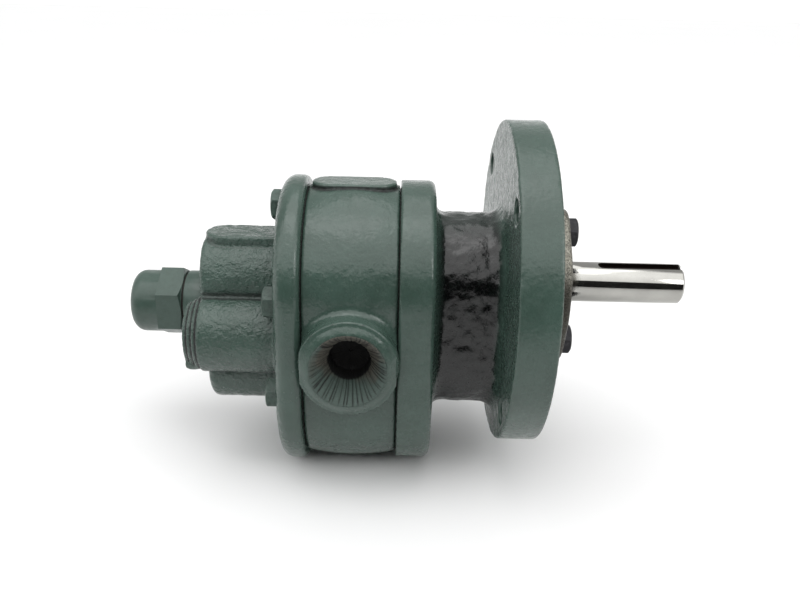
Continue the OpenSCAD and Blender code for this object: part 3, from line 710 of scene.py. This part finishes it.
def black_oxide(name):
    """Blackened bolt steel that has worn grey in places."""
    m = Nodes(name)
    wear = m.remap(m.noise(2.2, 5, 0.65), 0.55, 0.72)
    color = m.mix(m.math("MULTIPLY", wear, 0.35), srgb(34, 34, 37), srgb(84, 84, 88))
    rough = m.remap(m.noise(1.2, 4), 0.3, 0.7, 0.34, 0.56)
    return m.finish(color, rough, m.bump(m.noise(0.6, 3), 0.06, 0.5), metallic=0.6)


def plain(name, color, roughness, metallic=0.0, grain_mm=0.8, depth=0.04):
    """A quiet material for small or hidden pieces, still with grain and drift."""
    m = Nodes(name)
    drift = m.remap(m.noise(6, 4), 0.3, 0.7)
    low = tuple(0.75 * c for c in color[:3])
    tint = m.mix(drift, (*low, 1), (*color[:3], 1))
    rough = m.remap(m.noise(2, 3), 0.3, 0.7, roughness - 0.07, roughness + 0.07)
    return m.finish(tint, rough, m.bump(m.noise(grain_mm, 3), depth, 0.6), metallic=metallic)


def dress(obj, material):
    """Puts one material in every slot of an object."""
    if not obj.data.materials:
        obj.data.materials.append(material)
    for n in range(len(obj.data.materials)):
        obj.data.materials[n] = material


# ---------------------------------------------------------------- build the castings

# How wide a meshing cell is, in millimetres. The big bracket takes coarser cells, the thin retainer finer.
STEP = 0.85
BRACKET_STEP = STEP * 1.12
RETAINER_STEP = STEP * 0.7

smooth_enamel = enamel("enamel_body", 0.26, 1.5, 0.19, ("cavity",), dirt=0.2)
cast_enamel = enamel("enamel_cast", 0.2, 0.95, 0.17, ("cavity", "pebble"), dirt=0.12)
bracket_enamel = enamel("enamel_bracket", 0.18, 1.3, 0.22, ("cavity", "pebble", "bare"), dirt=0.2)

housing, _, _ = casting(
    "housing_shell", housing_field, HOUSING_LOW, HOUSING_HIGH, STEP, housing_relief)
dress(housing, smooth_enamel)
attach(housing, "pump_body")
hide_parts("gear_housing")

cover, cover_spots, _ = casting("cover_shell", cover_field, COVER_LOW, COVER_HIGH, STEP, cover_relief)
paint_value(cover, "pebble", ramp(RIM_X - cover_spots[:, 0], -4.0, 2.0))
dress(cover, cast_enamel)
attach(cover, "pump_body")
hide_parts("rear_cover")

bracket, spots, facing = casting(
    "bracket_shell", bracket_field, BRACKET_LOW, BRACKET_HIGH, BRACKET_STEP, bracket_relief)
sx, _, sz = spots.T
on_neck = ramp(sx, PLATE_X - 0.5, PLATE_X + 4) * ramp(-sx, -FLANGE_X - 0.5, -FLANGE_X + 4)
on_rear_face = ramp(-facing[:, 0], 0.5, 0.9) * ramp(sx, FLANGE_X - 3, FLANGE_X - 0.5)
on_rear_face = on_rear_face * ramp(FLANGE_X + 2.5 - sx, 0, 1)
on_pilot = ramp(sx, -0.2, 0.3)
paint_value(bracket, "bare", on_neck * (1 - on_pilot) * (1 - 0.3 * ramp(sz, 24, 33)))
paint_value(bracket, "pebble", on_rear_face * (1 - on_neck))
paint_value(bracket, "metal", on_pilot)
dress(bracket, bracket_enamel)
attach(bracket, "pump_body")
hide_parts("front_bracket")

retainer, _, _ = casting(
    "retainer_shell", retainer_field, RETAINER_LOW, RETAINER_HIGH, RETAINER_STEP, retainer_relief)
dress(retainer, raw_iron("raw_iron"))
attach(retainer, "pump_body")
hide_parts("retainer_plate")

# ---------------------------------------------------------------- pleated liners inside the two ports

PLEATS = 52
LINER_MOUTH_R = 16.75
LINER_LIMIT_R = 16.9
FUNNEL_NARROWING = 7.0
FUNNEL_DEPTH = 11.0
THROAT_DEPTH = 9.0
CREASE_MM = 0.3
POINTS_AROUND = 880
POINTS_ALONG = 56


def liner_material():
    """Stained fibre, made darker as painted shade, between creases and a throat painted near-black as shade,
    with the pump's paint over its lower edge.
    """
    m = Nodes("pleated_liner")
    fibres = m.remap(m.noise(0.7, 4, 0.7), 0.3, 0.7)
    # The bare fibre, which shows over the liner's upper side, is darker than its own colour: painted shade.
    paper = m.mix(fibres, srgb(88, 86, 76), srgb(44, 43, 39))
    paint = m.mix(fibres, srgb(58, 72, 66), srgb(72, 86, 80))
    color = m.mix(m.attribute("painted"), paper, paint)
    # Painted shade: near-black along the creases and in the throat.
    color = m.mix(m.remap(m.attribute("fold_shade"), 0.08, 0.55), color, srgb(4, 4, 3))
    return m.finish(color, 0.75, m.bump(m.noise(0.5, 3), 0.1, 0.6))


def add_liner(side, seed):
    """A ring of irregular pleats that narrows from the port's mouth to a throat painted dark as shade."""
    rng = np.random.default_rng(seed)
    edges = np.cumsum(rng.uniform(0.35, 1.65, PLEATS))
    edges *= 2 * math.pi / edges[-1]
    around, along = POINTS_AROUND, POINTS_ALONG
    angle = np.linspace(0, 2 * math.pi, around, endpoint=False)
    which = np.searchsorted(edges, angle, side="right") % PLEATS
    start = np.concatenate([[0], edges[:-1]])[which]
    share = (angle - start) / (edges[which] - start)
    depth = rng.uniform(0.25, 1.0, PLEATS)[which]
    lift = rng.uniform(-0.35, 0.35, PLEATS)[which]
    crease_line = np.exp(-np.minimum(share, 1 - share) * (edges[which] - start) * 16.0 / CREASE_MM)
    points, fold_shade, painted = [], [], []
    for n in range(along):
        t = n / (along - 1)
        funnel = min(t / 0.6, 1.0)
        inner = min(max(t - 0.6, 0) / 0.2, 1.0)
        closing = max(t - 0.8, 0) / 0.2
        wander = 0.02 * math.sin(5 * t + seed)
        a = angle + wander * np.sin(3 * angle + seed)
        radius = LINER_MOUTH_R - FUNNEL_NARROWING * funnel ** 0.85 - 0.4 * inner
        reach = PORT_REACH - 0.8 - FUNNEL_DEPTH * funnel ** 1.25 - THROAT_DEPTH * inner
        reach -= 2.0 * math.sin(closing * math.pi / 2)
        fold = min(1.0, 3 * funnel) * (1 - 0.5 * inner)
        ripple = 0.25 * noise(16 * np.cos(a), 16 * np.sin(a), np.full(around, 9.0 * t), 2.5, seed)
        radius = radius + fold * (0.55 * depth * crease_line * (1 - inner) + 0.4 * lift + ripple)
        radius = np.minimum(radius, LINER_LIMIT_R - min(funnel * 4, 1))
        radius = radius * max(math.cos(closing * math.pi / 2), 0.02)
        reach = reach - fold * (0.5 * depth * crease_line + 0.3 * lift)
        x, z = MID_X + radius * np.cos(a), MID_Z + radius * np.sin(a)
        points.append(np.stack([x, side * reach, z], 1))
        # Painted shade along the creases, full in the throat.
        fold_shade.append(np.clip(crease_line * depth * 1.5 * min(1, 0.35 + 4 * funnel) + inner * 3, 0, 1))
        coat = ramp(-np.sin(a) - 1.5 * funnel + 0.5 * noise(x, reach, z, 4, seed), -1.1, -0.15)
        painted.append(coat)
    points = np.concatenate(points)
    faces = []
    for n in range(along - 1):
        i = np.arange(around)
        k = (i + 1) % around
        ring = np.stack([n * around + i, n * around + k, (n + 1) * around + k, (n + 1) * around + i], 1)
        faces.append(ring if side < 0 else ring[:, ::-1])
    mesh = bpy.data.meshes.new("port_liner")
    mesh.from_pydata((points * MM).tolist(), [], np.concatenate(faces).tolist())
    mesh.polygons.foreach_set("use_smooth", np.ones(len(mesh.polygons), bool))
    obj = bpy.data.objects.new("port_liner_near" if side < 0 else "port_liner_far", mesh)
    bpy.context.scene.collection.objects.link(obj)
    paint_value(obj, "fold_shade", np.concatenate(fold_shade))
    paint_value(obj, "painted", np.concatenate(painted))
    dress(obj, LINER)
    thickness = obj.modifiers.new("thickness", "SOLIDIFY")
    thickness.thickness = 0.3 * MM
    thickness.offset = 1
    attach(obj, "pump_body")


LINER = liner_material()
add_liner(-1, 3)
add_liner(1, 8)

# ---------------------------------------------------------------- materials of the carried-over CAD pieces

turned_enamel = enamel("enamel_turned", 0.04, 1.5, 0.34)
bolt_enamel = enamel("enamel_bolts", 0.45, 0.7, 0.4, dirt=0.95)
ground_steel = keyed_steel("ground_steel", SHAFT_R, SHAFT_END, tone=(0.43, 0.425, 0.4))
gear_steel = steel("gear_steel", tone=(0.45, 0.45, 0.45), roughness=0.3)
bright_steel = steel("bright_steel", tone=(0.4, 0.4, 0.39), roughness=0.35)
fibre = plain("fibre_gasket", (0.02, 0.02, 0.018), 0.8)
bronze = plain("sintered_bronze", (0.45, 0.3, 0.13), 0.45, 1.0)
LOOKS = {
    "drive_shaft": ground_steel,
    "idler_shaft": bright_steel,
    "drive_gear": gear_steel,
    "idler_gear": gear_steel,
    "relief_cap": turned_enamel,
    "relief_bonnet": turned_enamel,
    "cover_bolts": bolt_enamel,
    "lobe_plug": bolt_enamel,
    "retainer_bolts": black_oxide("black_oxide"),
    # Copper made near-black: painted shade at the cap's recessed joint.
    "cap_gasket": plain("copper_in_shade", (0.03, 0.026, 0.022), 0.7, 0.3),
    "front_gasket": fibre,
    "rear_gasket": fibre,
    "retainer_gasket": fibre,
    "seal_lip": plain("nitrile", (0.02, 0.02, 0.02), 0.55),
}
SOFT_EDGES_MM = {
    "relief_cap": 0.35, "relief_bonnet": 0.3, "cover_bolts": 0.4, "retainer_bolts": 0.3, "drive_shaft": 0.2,
}
CASTINGS = ("gear_housing", "rear_cover", "front_bracket", "retainer_plate")
for name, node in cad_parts.items():
    if "bushing" in name:
        dress(node, bronze)
    elif name not in CASTINGS:
        dress(node, LOOKS.get(name, bright_steel))
    if name in SOFT_EDGES_MM:
        weld = node.modifiers.new("weld", "WELD")
        weld.merge_threshold = 0.001 * MM
        bevel = node.modifiers.new("soft_edges", "BEVEL")
        bevel.width = SOFT_EDGES_MM[name] * MM
        bevel.segments = 2
        bevel.limit_method = "ANGLE"
        bevel.angle_limit = math.radians(28)
        bevel.harden_normals = True

# ---------------------------------------------------------------- the relief spring, cut into two halves

SPRING_LOW, SPRING_HIGH = span("relief_spring")
SPRING_MID_X = (SPRING_LOW[0] + SPRING_HIGH[0]) / 2


def add_spring_half(name, end_x):
    """Half of the relief spring, cut at its middle and closed, on the side of end_x."""
    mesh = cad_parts["relief_spring"].data.copy()
    mesh.transform(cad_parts["relief_spring"].matrix_world)
    form = bmesh.new()
    form.from_mesh(mesh)
    inward = Vector((SPRING_MID_X - end_x, 0, 0)).normalized()
    everything = form.verts[:] + form.edges[:] + form.faces[:]
    middle = (SPRING_MID_X * MM, 0, 0)
    bmesh.ops.bisect_plane(form, geom=everything, plane_co=middle, plane_no=inward, clear_outer=True)
    bmesh.ops.holes_fill(form, edges=[e for e in form.edges if e.is_boundary])
    form.to_mesh(mesh)
    form.free()
    obj = bpy.data.objects.new(name, mesh)
    bpy.context.scene.collection.objects.link(obj)
    dress(obj, bright_steel)
    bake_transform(obj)
    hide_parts("relief_spring")


add_spring_half("relief_spring_seat_end", SPRING_LOW[0])
add_spring_half("relief_spring_poppet_end", SPRING_HIGH[0])

# ---------------------------------------------------------------- camera, light and floor

VIEW_TARGET = Vector((-62.6, 0, -11.55)) * MM
VIEW_DISTANCE = 381 * MM
VIEW_ELEVATION = math.radians(22.0)
VIEW_YAW = math.radians(0.41)
VIEW_ROLL = math.radians(1.41)
LENS_MM = 35.55
SENSOR_MM = 36

# Lamps, floor and wall are in metres, as the room is.
FLOOR_Z = cad_bounds[0][2]
FLOOR_HALF = 6.0
WALL_Y, WALL_HALF, WALL_TOP = -0.45, 1.2, 0.2

# The room's brightness by direction round the X axis, in degrees: 0 is the camera's side, 90 is overhead.
SKY_LEVEL = 1.55
SKY = [
    (-180, 1.0), (-90, 0.3), (-20, 0.2), (11, 0.01), (20, 0.012), (24.5, 1.0), (60, 1.3), (86, 1.3),
    (96, 0.40), (150, 0.35), (172, 0.6), (177, 1.0),
]


def add_camera():
    """The camera looks along +Y from above, turned a little about its own axis."""
    ahead = Vector((
        math.sin(VIEW_YAW) * math.cos(VIEW_ELEVATION),
        math.cos(VIEW_YAW) * math.cos(VIEW_ELEVATION),
        -math.sin(VIEW_ELEVATION),
    ))
    camera = bpy.data.objects.new("camera", bpy.data.cameras.new("camera"))
    bpy.context.scene.collection.objects.link(camera)
    level = Vector((math.cos(VIEW_YAW), -math.sin(VIEW_YAW), 0))
    upright = level.cross(ahead)
    right = math.cos(VIEW_ROLL) * level + math.sin(VIEW_ROLL) * upright
    top = -math.sin(VIEW_ROLL) * level + math.cos(VIEW_ROLL) * upright
    turn = Matrix((right, top, -ahead)).transposed().to_4x4()
    camera.matrix_world = Matrix.Translation(VIEW_TARGET - VIEW_DISTANCE * ahead) @ turn
    camera.data.lens = LENS_MM
    camera.data.sensor_width = SENSOR_MM
    camera.data.clip_start = 0.01
    bpy.context.scene.camera = camera


def add_softbox(name, place, aim, width, height, watts):
    """A rectangular area lamp that faces a point."""
    lamp = bpy.data.lights.new(name, "AREA")
    lamp.shape = "RECTANGLE"
    lamp.size, lamp.size_y, lamp.energy = width, height, watts
    obj = bpy.data.objects.new(name, lamp)
    bpy.context.scene.collection.objects.link(obj)
    obj.location = place
    obj.rotation_euler = (Vector(aim) - Vector(place)).to_track_quat("-Z", "Y").to_euler()


def add_floor():
    """A pale sheet that the pump's lowest point rests on."""
    mesh = bpy.data.meshes.new("floor")
    corners = [(x * FLOOR_HALF, y * FLOOR_HALF, FLOOR_Z) for x, y in ((-1, -1), (1, -1), (1, 1), (-1, 1))]
    mesh.from_pydata(corners, [], [(0, 1, 2, 3)])
    floor = bpy.data.objects.new("floor", mesh)
    bpy.context.scene.collection.objects.link(floor)
    m = Nodes("floor_paper")
    tone = m.remap(m.noise(400, 2), 0.3, 0.7)
    dress(floor, m.finish(m.mix(tone, (0.85, 0.85, 0.85, 1), (0.86, 0.86, 0.86, 1)), 0.7))


def add_world():
    """A room by direction: a wide bright ceiling from overhead to the front, dim walls elsewhere."""
    world = bpy.data.worlds.new("studio")
    world.use_nodes = True
    tree = world.node_tree
    background = tree.nodes["Background"]
    place = tree.nodes.new("ShaderNodeTexCoord")
    split = tree.nodes.new("ShaderNodeSeparateXYZ")
    tree.links.new(place.outputs["Generated"], split.inputs[0])
    front = tree.nodes.new("ShaderNodeMath")
    front.operation = "MULTIPLY"
    front.inputs[1].default_value = -1
    tree.links.new(split.outputs[1], front.inputs[0])
    turn = tree.nodes.new("ShaderNodeMath")
    turn.operation = "ARCTAN2"
    tree.links.new(split.outputs[2], turn.inputs[0])
    tree.links.new(front.outputs[0], turn.inputs[1])
    scale = tree.nodes.new("ShaderNodeMapRange")
    scale.inputs[1].default_value, scale.inputs[2].default_value = -math.pi, math.pi
    tree.links.new(turn.outputs[0], scale.inputs[0])
    ramp_node = tree.nodes.new("ShaderNodeValToRGB")
    tree.links.new(scale.outputs[0], ramp_node.inputs[0])
    stops = ramp_node.color_ramp.elements
    for degrees, level in SKY:
        at = degrees / 360 + 0.5
        stop = stops[0] if degrees == SKY[0][0] else stops.new(at)
        stop.position = at
        stop.color = (level, level, level, 1)
    stops.remove(stops[-1])
    tree.links.new(ramp_node.outputs[0], background.inputs[0])
    background.inputs[1].default_value = SKY_LEVEL
    bpy.context.scene.world = world


def add_dark_wall():
    """A dark wall in front, seen only in reflections."""
    mesh = bpy.data.meshes.new("dark_wall")
    corners = [
        (-WALL_HALF, WALL_Y, FLOOR_Z), (WALL_HALF, WALL_Y, FLOOR_Z),
        (WALL_HALF, WALL_Y, WALL_TOP), (-WALL_HALF, WALL_Y, WALL_TOP),
    ]
    mesh.from_pydata(corners, [], [(0, 1, 2, 3)])
    wall = bpy.data.objects.new("dark_wall", mesh)
    bpy.context.scene.collection.objects.link(wall)
    dress(wall, plain("dark_cloth", (0.012, 0.012, 0.012), 0.9))
    wall.visible_camera = False


add_camera()
add_world()
add_floor()
add_dark_wall()
add_softbox("key_light", (-0.12, 0.05, 1.0), (-0.06, 0, -0.02), 1.0, 0.8, 3.8)
add_softbox("side_strip", (0.52, -0.58, 0.30), (-0.1, 0, 0), 0.14, 0.5, 1.5)
bpy.context.scene.view_settings.view_transform = "Standard"
